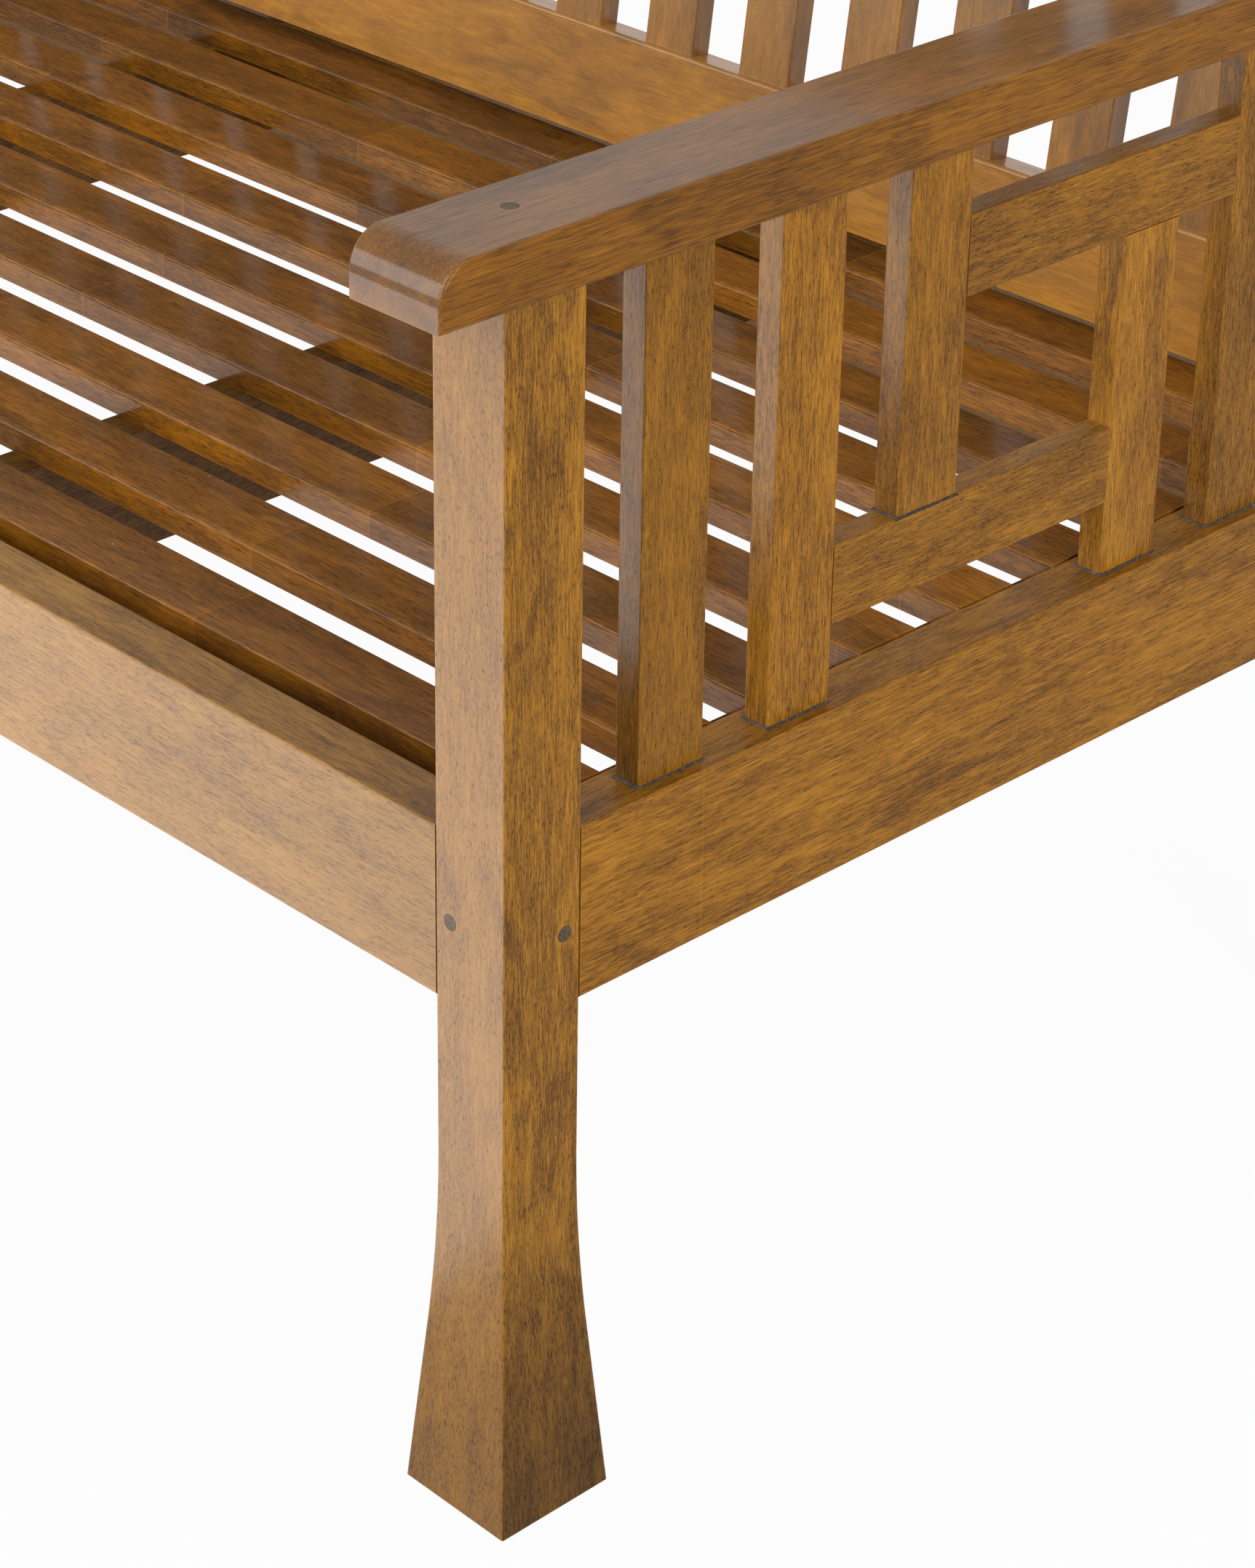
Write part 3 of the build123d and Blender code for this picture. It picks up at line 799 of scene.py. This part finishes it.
@dataclass
class SeatDeck:
    """Lengthways seat slats with the bearers, cleats and dowels below them."""

    slats: int = 9
    bearers: int = 3
    slat_board: int = 30
    bearer_board: int = 50
    first_cleat_board: int = 55
    dowel_board: int = 60
    slat: WoodFinish = WoodFinish(
        gold=(0.355, 0.136, 0.010), brown=(0.182, 0.066, 0.005), clouds=1.4, fibre_stretch=24.0,
        pore_length=0.005, blocks=0.5, block_length=0.34, joint_share=0.3, dust_share=0.05,
        worn_and_highlight=0.5, shine=0.04, coat=0.25, coat_gloss=0.12,
    )
    hidden: WoodFinish = WoodFinish(depth=0.62, coat=0.3, coat_gloss=0.35, gloss=0.5, worn_and_highlight=0.1)
    bare: WoodFinish = WoodFinish(
        gold=(0.58, 0.41, 0.22), brown=(0.46, 0.31, 0.16), stain=(0.34, 0.22, 0.11),
        pore=(0.28, 0.18, 0.09), coat=0.0, gloss=0.6, pores=0.3, worn_and_highlight=0.0,
    )

    def dress(self) -> None:
        """Dress the deck."""
        for number in range(1, self.slats + 1):
            node = f"seat_slat_{number}"
            dress(node, self.slat.make(node, Grain.ALONG_SEAT, self.slat_board + number))
        for number in range(1, self.bearers + 1):
            node = f"seat_bearer_{number}"
            dress(node, self.hidden.make(node, Grain.FRONT_TO_BACK, self.bearer_board + number))
        for board, side in enumerate(Side, start=self.first_cleat_board):
            node = f"seat_cleat_{side.word}"
            dress(node, self.hidden.make(node, Grain.FRONT_TO_BACK, board))
        dress("seat_dowels", self.bare.make("seat_dowels", Grain.UPRIGHT, self.dowel_board))


@dataclass
class ArmPanels:
    """Arm boards over their panels of uprights and cross rails, with glue beads at the feet."""

    tones: tuple[float, ...] = (0.78, 1.12, 0.98, 1.06, 1.0, 0.96)
    stopped: int = 3
    arm_boards: tuple[int, int] = (70, 90)
    cross_rail_board: int = 10
    bead_height: float = 1.1 * MM
    bead_spread: float = 1.0 * MM
    bead_lip: float = 0.15 * MM
    bead_foot: float = 0.11 * MM
    bead_cuts: int = 7
    bead_wobble: float = 0.32 * MM
    bead_ripples: float = 1700.0
    bead_seed: int = 11
    bead_crease: float = radians(60)
    arm: WoodFinish = WoodFinish(
        gold=(0.435, 0.180, 0.013), brown=(0.236, 0.088, 0.007), depth=0.73, mottles=0.7,
        fibre_stretch=30.0, pores=0.6, pore_length=0.012, blocks=0.0, dust_share=0.03,
        coat=0.64, rubbed=0.25, coat_gloss=0.14,
    )
    panel: WoodFinish = WoodFinish(
        depth=0.93, mottles=0.7, patches=0.15, pores=0.8, blocks=0.0, dust_share=0.05,
        coat=0.52, rubbed=0.28,
    )
    bead: BeadFinish = BeadFinish()

    def dress(self) -> None:
        """Dress the arms, uprights and cross rails. Each upright has a tone of its own."""
        for board, side in zip(self.arm_boards, Side):
            node = f"arm_{side.word}"
            dress(node, self.arm.make(node, Grain.FRONT_TO_BACK, board))
            for number, tone in enumerate(self.tones, start=1):
                node = f"arm_slat_{side.word}_{number}"
                upright = replace(self.panel, depth=tone)
                dress(node, upright.make(node, Grain.UPRIGHT, board + number))
            levels = enumerate(("lower", "upper"), start=board + self.cross_rail_board)
            for cross_board, level in levels:
                node = f"arm_cross_rail_{level}_{side.word}"
                dress(node, self.panel.make(node, Grain.FRONT_TO_BACK, cross_board))

    def foot(self, side: Side, number: int) -> tuple[Vector, float, float]:
        """Where an upright stands.

        Args:
            side: Side of the settle.
            number: Number of the upright.

        Returns:
            Middle of its foot, and its thickness and width.
        """
        carrier = f"side_rail_{side.word}"
        if number == self.stopped:
            carrier = f"arm_cross_rail_lower_{side.word}"
        low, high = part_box(f"arm_slat_{side.word}_{number}")
        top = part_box(carrier)[1].z
        place = Vector(((low.x + high.x) / 2, (low.y + high.y) / 2, top))
        return place, high.x - low.x, high.y - low.y

    def make_bead(self, side: Side, number: int) -> bpy.types.Object:
        """Model the uneven bead round an upright's foot.

        Args:
            side: Side of the settle.
            number: Number of the upright.

        Returns:
            The bead.
        """
        place, thick, wide = self.foot(side, number)
        foot_size = (thick + 2 * self.bead_spread, wide + 2 * self.bead_spread)
        top_size = (thick + 2 * self.bead_lip, wide + 2 * self.bead_lip)
        rise = Vector((0.0, 0.0, self.bead_height))
        deselect()
        bpy.ops.mesh.primitive_plane_add(size=1.0, location=place)
        bead = bpy.context.object
        bead.scale = (*foot_size, 1.0)
        settle_place(bead)
        bpy.ops.object.mode_set(mode="EDIT")
        bpy.ops.mesh.select_all(action="SELECT")
        bpy.ops.mesh.extrude_region_move(TRANSFORM_OT_translate={"value": rise})
        narrow = (top_size[0] / foot_size[0], top_size[1] / foot_size[1], 1.0)
        bpy.ops.transform.resize(value=narrow, center_override=place + rise)
        bpy.ops.mesh.select_all(action="SELECT")
        bpy.ops.mesh.subdivide(number_cuts=self.bead_cuts)
        bpy.ops.object.mode_set(mode="OBJECT")
        # By place, because the order of the vertices differs from run to run.
        for vertex in bead.data.vertices:
            if vertex.co.z > place.z + self.bead_foot:
                vertex.co += self.bead_wobble * noise.noise_vector(vertex.co * self.bead_ripples)
        bpy.ops.object.mode_set(mode="EDIT")
        bpy.ops.mesh.select_all(action="SELECT")
        bpy.ops.mesh.normals_make_consistent(inside=False)
        bpy.ops.object.mode_set(mode="OBJECT")
        bpy.ops.object.shade_smooth_by_angle(angle=self.bead_crease)
        return bead

    def make_beads(self) -> None:
        """Model the beads of both sides."""
        noise.seed_set(self.bead_seed)
        material = self.bead.make("glue_bead")
        for side in Side:
            beads = [self.make_bead(side, number + 1) for number in range(len(self.tones))]
            piece = joined(f"glue_beads_{side.word}", beads)
            finish_piece(piece, material)


@dataclass
class BackFrame:
    """Leaning back frame: two long rails, two stiles and rows of slats."""

    rows: int = 7
    slats: int = 21
    slat_width: float = 40.0 * MM
    first_rail_board: int = 120
    first_stile_board: int = 125
    slat_board: int = 130
    rail: WoodFinish = WoodFinish(
        depth=1.55, fibre_stretch=24.0, fibres=1.1, mottles=0.7, pores=0.25, blocks=0.1,
        dust_share=0.03, coat=0.8,
    )
    slat: WoodFinish = WoodFinish(
        depth=1.08, fibres=1.3, mottles=0.6, pores=0.4, blocks=0.0, coat=1.0
    )

    def repeat(self) -> Span:
        """Find the spacing of the back slats.

        Returns:
            Start and pitch in X, where the start is halfway between two slats.
        """
        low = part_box("back_slats_1")[0].x
        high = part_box(f"back_slats_{self.rows}")[1].x
        pitch = (high - low - self.slat_width) / (self.slats - 1)
        return low - (pitch - self.slat_width) / 2, pitch

    def dress(self) -> None:
        """Dress the back frame."""
        for board, level in enumerate(("bottom", "top"), start=self.first_rail_board):
            node = f"back_{level}_rail"
            dress(node, self.rail.make(node, Grain.ALONG_LEANING_RAIL, board))
        for board, side in enumerate(Side, start=self.first_stile_board):
            node = f"back_stile_{side.word}"
            dress(node, self.slat.make(node, Grain.LEANING, board))
        for row in range(1, self.rows + 1):
            node = f"back_slats_{row}"
            material = self.slat.make(node, Grain.LEANING, self.slat_board + row, self.repeat())
            dress(node, material)


@dataclass
class Fastenings:
    """Pins, plugs, screws, bolts and inserts. The cleat screws stand behind some seat slats."""

    head_sides: int = 28
    rim_steps: int = 3
    rim_fullness: float = 0.6
    shank_sides: int = 14
    point_share: float = 0.5
    crease: float = radians(35)
    screw_head: float = 7.0 * MM
    screw_head_height: float = 2.5 * MM
    screw_rim: float = 0.8 * MM
    screw_shank: float = 3.5 * MM
    recess_depth: float = 1.4 * MM
    recess_width: float = 0.9 * MM
    recess_length: float = 4.2 * MM
    recess_proud: float = 0.5 * MM
    cleat_screw_sunk: float = 1.0 * MM
    cleat_screws_behind: tuple[int, ...] = (1, 3, 6, 8)
    bolt_head: float = 13.0 * MM
    bolt_head_height: float = 3.0 * MM
    bolt_rim: float = 1.1 * MM
    bolt_shank: float = 6.0 * MM
    socket_sides: int = 6
    socket_width: float = 4.6 * MM
    socket_depth: float = 2.2 * MM
    steel: MetalFinish = MetalFinish()
    brass: MetalFinish = MetalFinish(((0.70, 0.50, 0.22), (0.50, 0.34, 0.14)), gloss=0.35)
    plug: PlugFinish = PlugFinish()

    def dress(self) -> None:
        """Dress the fastenings that stay as the frame has them."""
        plug = self.plug.make("plug_end_grain")
        for node in ("rail_pins", "arm_plugs"):
            dress(node, plug)
        dress("arm_screws", self.steel.make("screw_steel"))
        dress("bolt_inserts", self.brass.make("insert_brass"))

    def make_head(self, radius: float, height: float, rim: float) -> bpy.types.Object:
        """Model a low round head with a rounded rim, its top towards -Z at the origin.

        Args:
            radius: Radius of the head.
            height: Height of the head.
            rim: Size of the rounding.

        Returns:
            The head.
        """
        deselect()
        middle_place = (0.0, 0.0, height / 2)
        bpy.ops.mesh.primitive_cylinder_add(
            vertices=self.head_sides, radius=radius, depth=height, location=middle_place
        )
        head = bpy.context.object
        settle_place(head)
        edit_faces(head, Vector((0.0, 0.0, -1.0)))
        bpy.ops.mesh.bevel(
            offset=rim, segments=self.rim_steps, profile=self.rim_fullness, affect="EDGES"
        )
        bpy.ops.object.mode_set(mode="OBJECT")
        return head

    def add_shank(
        self, head: bpy.types.Object, radius: float, start: float, length: float
    ) -> bpy.types.Object:
        """Join a plain shank with a ringed end to a head.

        Args:
            head: The head.
            radius: Radius of the shank.
            start: Height at which the shank starts.
            length: Length of the shank.

        Returns:
            The screw or bolt.
        """
        deselect()
        middle_place = (0.0, 0.0, start + length / 2)
        bpy.ops.mesh.primitive_cylinder_add(
            vertices=self.shank_sides, radius=radius, depth=length, location=middle_place
        )
        shank = bpy.context.object
        settle_place(shank)
        edit_faces(shank, Vector((0.0, 0.0, 1.0)))
        bpy.ops.mesh.inset(thickness=radius * self.point_share, depth=0.0)
        bpy.ops.object.mode_set(mode="OBJECT")
        return joined("fastener", [head, shank])

    def make_screw(self, total: float) -> bpy.types.Object:
        """Model a screw with a crossed recess, its head at the origin and its point towards +Z.

        Args:
            total: Length from the head's face to the point.

        Returns:
            The screw.
        """
        head = self.make_head(self.screw_head / 2, self.screw_head_height, self.screw_rim)
        recess_middle = (0.0, 0.0, (self.recess_depth - self.recess_proud) / 2)
        recess_height = self.recess_depth + self.recess_proud
        for turn in (0.0, pi / 2):
            deselect()
            bpy.ops.mesh.primitive_cube_add(size=1.0, location=recess_middle)
            slot = bpy.context.object
            slot.scale = (self.recess_length, self.recess_width, recess_height)
            slot.rotation_euler = (0.0, 0.0, turn)
            settle_place(slot)
            cut_away(head, slot)
        start = self.screw_head_height
        screw = self.add_shank(head, self.screw_shank / 2, start, total - start)
        take(screw)
        bpy.ops.object.shade_smooth_by_angle(angle=self.crease)
        return screw

    def make_bolt(self, total: float) -> bpy.types.Object:
        """Model a bolt with a six-sided socket, its head at the origin and its end towards +Z.

        Args:
            total: Length from the head's face to the end.

        Returns:
            The bolt.
        """
        head = self.make_head(self.bolt_head / 2, self.bolt_head_height, self.bolt_rim)
        deselect()
        bpy.ops.mesh.primitive_cylinder_add(
            vertices=self.socket_sides, radius=self.socket_width / 2,
            depth=2 * self.socket_depth, location=(0.0, 0.0, 0.0),
        )
        socket = bpy.context.object
        settle_place(socket)
        cut_away(head, socket)
        start = self.bolt_head_height
        bolt = self.add_shank(head, self.bolt_shank / 2, start, total - start)
        take(bolt)
        bpy.ops.object.shade_smooth_by_angle(angle=self.crease)
        return bolt

    def spread(
        self, name: str, pattern: bpy.types.Object, places: list[Vector]
    ) -> bpy.types.Object:
        """Copy a fastener to its places and join the copies.

        Args:
            name: Name of the piece.
            pattern: The fastener, with its head at the origin.
            places: Where each head goes.

        Returns:
            The joined piece.
        """
        copies = []
        for place in places:
            twin = pattern.copy()
            twin.data = pattern.data.copy()
            twin.data.transform(Matrix.Translation(place))
            bpy.context.scene.collection.objects.link(twin)
            copies.append(twin)
        bpy.data.objects.remove(pattern)
        return joined(name, copies)

    def turned(self, piece: bpy.types.Object, side: Side) -> bpy.types.Object:
        """Turn an upright fastener so that it points outwards on one side."""
        piece.data.transform(Matrix.Rotation(side.value * pi / 2, 4, "Y"))
        return piece

    def make_slat_screws(self, material: bpy.types.Material) -> None:
        """Model the screws that come up through the cleats into the slat ends.

        Args:
            material: Finish of the screws.
        """
        low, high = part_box("slat_screws")
        places = []
        for side, number in product(Side, range(1, SeatDeck.slats + 1)):
            x = middle(f"seat_cleat_{side.word}").x
            places.append(Vector((x, middle(f"seat_slat_{number}").y, low.z)))
        piece = self.spread("slat_screws_crossed", self.make_screw(high.z - low.z), places)
        finish_piece(piece, material)
        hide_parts("slat_screws")

    def make_cleat_screws(self, material: bpy.types.Material) -> None:
        """Model the screws that hold the cleats on the side rails.

        Args:
            material: Finish of the screws.
        """
        low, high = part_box("cleat_screws")
        head_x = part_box("seat_cleat_right")[0].x + self.cleat_screw_sunk
        rows = []
        for side in Side:
            screw = self.turned(self.make_screw(high.x - head_x), side)
            places = []
            for number in self.cleat_screws_behind:
                y = (middle(f"seat_slat_{number}").y + middle(f"seat_slat_{number + 1}").y) / 2
                places.append(Vector((side.value * head_x, y, (low.z + high.z) / 2)))
            rows.append(self.spread("row", screw, places))
        piece = joined("cleat_screws_crossed", rows)
        finish_piece(piece, material)
        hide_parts("cleat_screws")

    def make_bolts(self, material: bpy.types.Material) -> None:
        """Model the bolts that hold the back frame on the rear legs.

        Args:
            material: Finish of the bolts.
        """
        low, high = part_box("back_bolts")
        radius = self.bolt_head / 2
        head_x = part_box("back_stile_right")[0].x
        rows = []
        for side in Side:
            bolt = self.turned(self.make_bolt(high.x - head_x), side)
            places = [
                Vector((side.value * head_x, low.y + radius, low.z + radius)),
                Vector((side.value * head_x, high.y - radius, high.z - radius)),
            ]
            rows.append(self.spread("row", bolt, places))
        piece = joined("back_bolts_socketed", rows)
        finish_piece(piece, material)
        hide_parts("back_bolts")

    def make(self) -> None:
        """Model the fasteners whose heads show."""
        material = self.steel.make("head_steel")
        self.make_slat_screws(material)
        self.make_cleat_screws(material)
        self.make_bolts(material)


@dataclass(frozen=True)
class Lamp:
    """Soft square lamp. Lengths are in metres."""

    name: str
    place: Numbers
    faces: Numbers
    width: float
    power: float

    def hang(self) -> None:
        """Add the lamp to the scene."""
        data = bpy.data.lights.new(self.name, "AREA")
        data.shape = "SQUARE"
        data.size = self.width
        data.energy = self.power
        lamp = bpy.data.objects.new(self.name, data)
        lamp.location = self.place
        beam = Vector(self.faces) - Vector(self.place)
        lamp.rotation_euler = beam.to_track_quat("-Z", "Y").to_euler()
        lamp.visible_camera = False
        bpy.context.scene.collection.objects.link(lamp)


@dataclass
class Studio:
    """White studio with soft lamps and the photograph's camera. Lengths are in metres."""

    white: Colour = (1.0, 1.0, 1.0)
    floor_size: float = 60.0
    floor_colour: Colour = (0.62, 0.62, 0.62)
    floor_glow: float = 0.955
    ambient: float = 0.26
    lamps: tuple[Lamp, ...] = (
        Lamp("front_lamp", (0.6, -4.6, 1.9), (0.0, 0.0, 0.5), 2.4, 68.0),
        Lamp("high_lamp", (-0.6, -3.4, 3.4), (0.0, 0.0, 0.5), 2.4, 75.0),
        Lamp("front_left_lamp", (-2.7, -3.3, 1.4), (0.0, 0.0, 0.45), 2.4, 70.0),
        Lamp("right_lamp", (4.0, -0.6, 1.7), (0.0, 0.0, 0.6), 2.0, 107.0),
        Lamp("rear_lamp", (0.6, 4.6, 1.3), (0.0, 0.0, 0.45), 2.4, 90.0),
        Lamp("floor_board", (0.15, -1.05, 0.02), (0.15, -1.05, 1.0), 1.3, 13.0),
    )
    camera_place: Numbers = (2.0513, -1.3511, 1.2311)
    azimuth: float = 46.696
    elevation: float = 26.949
    roll: float = 0.411
    lens_mm: float = 93.106
    sensor_mm: float = 36.0
    photo_width: int = 1725
    photo_height: int = 2156
    optical_centre: Span = (755.0, 850.0)
    nearest: float = 0.05
    farthest: float = 100.0

    def seen_directly(self, tree: bpy.types.NodeTree) -> bpy.types.NodeSocket:
        """1 for rays from the camera, mirrors and glass, and 0 for other rays.

        Args:
            tree: Nodes of the floor or of the surroundings.

        Returns:
            The switch.
        """
        rays = tree.nodes.new("ShaderNodeLightPath")
        seen = rays.outputs["Is Camera Ray"]
        for kind in ("Is Glossy Ray", "Is Transmission Ray"):
            either = tree.nodes.new("ShaderNodeMath")
            either.operation = "MAXIMUM"
            tree.links.new(seen, either.inputs[0])
            tree.links.new(rays.outputs[kind], either.inputs[1])
            seen = either.outputs[0]
        return seen

    def build_floor(self) -> None:
        """Lay the floor, white to the eye but for the settle's soft shadow."""
        deselect()
        bpy.ops.mesh.primitive_plane_add(size=self.floor_size, location=(0.0, 0.0, 0.0))
        floor = bpy.context.object
        floor.name = "studio_floor"
        graph = Graph("floor_paper")
        matt = graph.node("BsdfDiffuse")
        graph.feed(matt.inputs["Color"], self.floor_colour)
        glow = graph.node("Emission")
        graph.feed(glow.inputs["Color"], self.white)
        share = graph.math("MULTIPLY", self.seen_directly(graph.tree), self.floor_glow)
        both = graph.node("MixShader")
        for socket, value in zip(both.inputs, (share, matt.outputs[0], glow.outputs[0])):
            graph.feed(socket, value)
        floor.data.materials.append(graph.finish(both))

    def build_surroundings(self) -> None:
        """White surroundings that light the settle at a lower, even level."""
        world = bpy.data.worlds.new("white_room")
        world.use_nodes = True
        bpy.context.scene.world = world
        tree = world.node_tree
        tree.nodes.clear()
        level = tree.nodes.new("ShaderNodeMapRange")
        level.inputs["To Min"].default_value = self.ambient
        level.inputs["To Max"].default_value = 1.0
        tree.links.new(self.seen_directly(tree), level.inputs["Value"])
        sky = tree.nodes.new("ShaderNodeBackground")
        sky.inputs["Color"].default_value = (*self.white, 1.0)
        tree.links.new(level.outputs[0], sky.inputs["Strength"])
        output = tree.nodes.new("ShaderNodeOutputWorld")
        tree.links.new(sky.outputs[0], output.inputs["Surface"])

    def place_camera(self) -> None:
        """Set the camera where the photograph was taken from."""
        data = bpy.data.cameras.new("photo_camera")
        data.sensor_width = self.sensor_mm
        data.lens = self.lens_mm
        long_side = max(self.photo_width, self.photo_height)
        data.shift_x = (self.photo_width / 2 - self.optical_centre[0]) / long_side
        data.shift_y = (self.optical_centre[1] - self.photo_height / 2) / long_side
        data.clip_start = self.nearest
        data.clip_end = self.farthest
        camera = bpy.data.objects.new("photo_camera", data)
        turn, rise = radians(self.azimuth), radians(self.elevation)
        away = Vector((sin(turn) * cos(rise), -cos(turn) * cos(rise), sin(rise)))
        upright = (-away).to_track_quat("-Z", "Y").to_matrix()
        rolled = upright @ Matrix.Rotation(radians(self.roll), 3, "Z")
        camera.rotation_euler = rolled.to_euler()
        camera.location = self.camera_place
        bpy.context.scene.collection.objects.link(camera)
        bpy.context.scene.camera = camera

    def build(self) -> None:
        """Build the studio."""
        bpy.context.scene.view_settings.view_transform = "Standard"
        self.build_floor()
        self.build_surroundings()
        for lamp in self.lamps:
            lamp.hang()
        self.place_camera()


def main() -> None:
    """Dress the frame, model the small pieces and set up the studio."""
    logging.basicConfig(level=logging.INFO, format="%(message)s")
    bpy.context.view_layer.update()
    Posts().dress()
    SeatDeck().dress()
    panels = ArmPanels()
    panels.dress()
    panels.make_beads()
    BackFrame().dress()
    fastenings = Fastenings()
    fastenings.dress()
    fastenings.make()
    Studio().build()


if __name__ == "__main__":
    main()
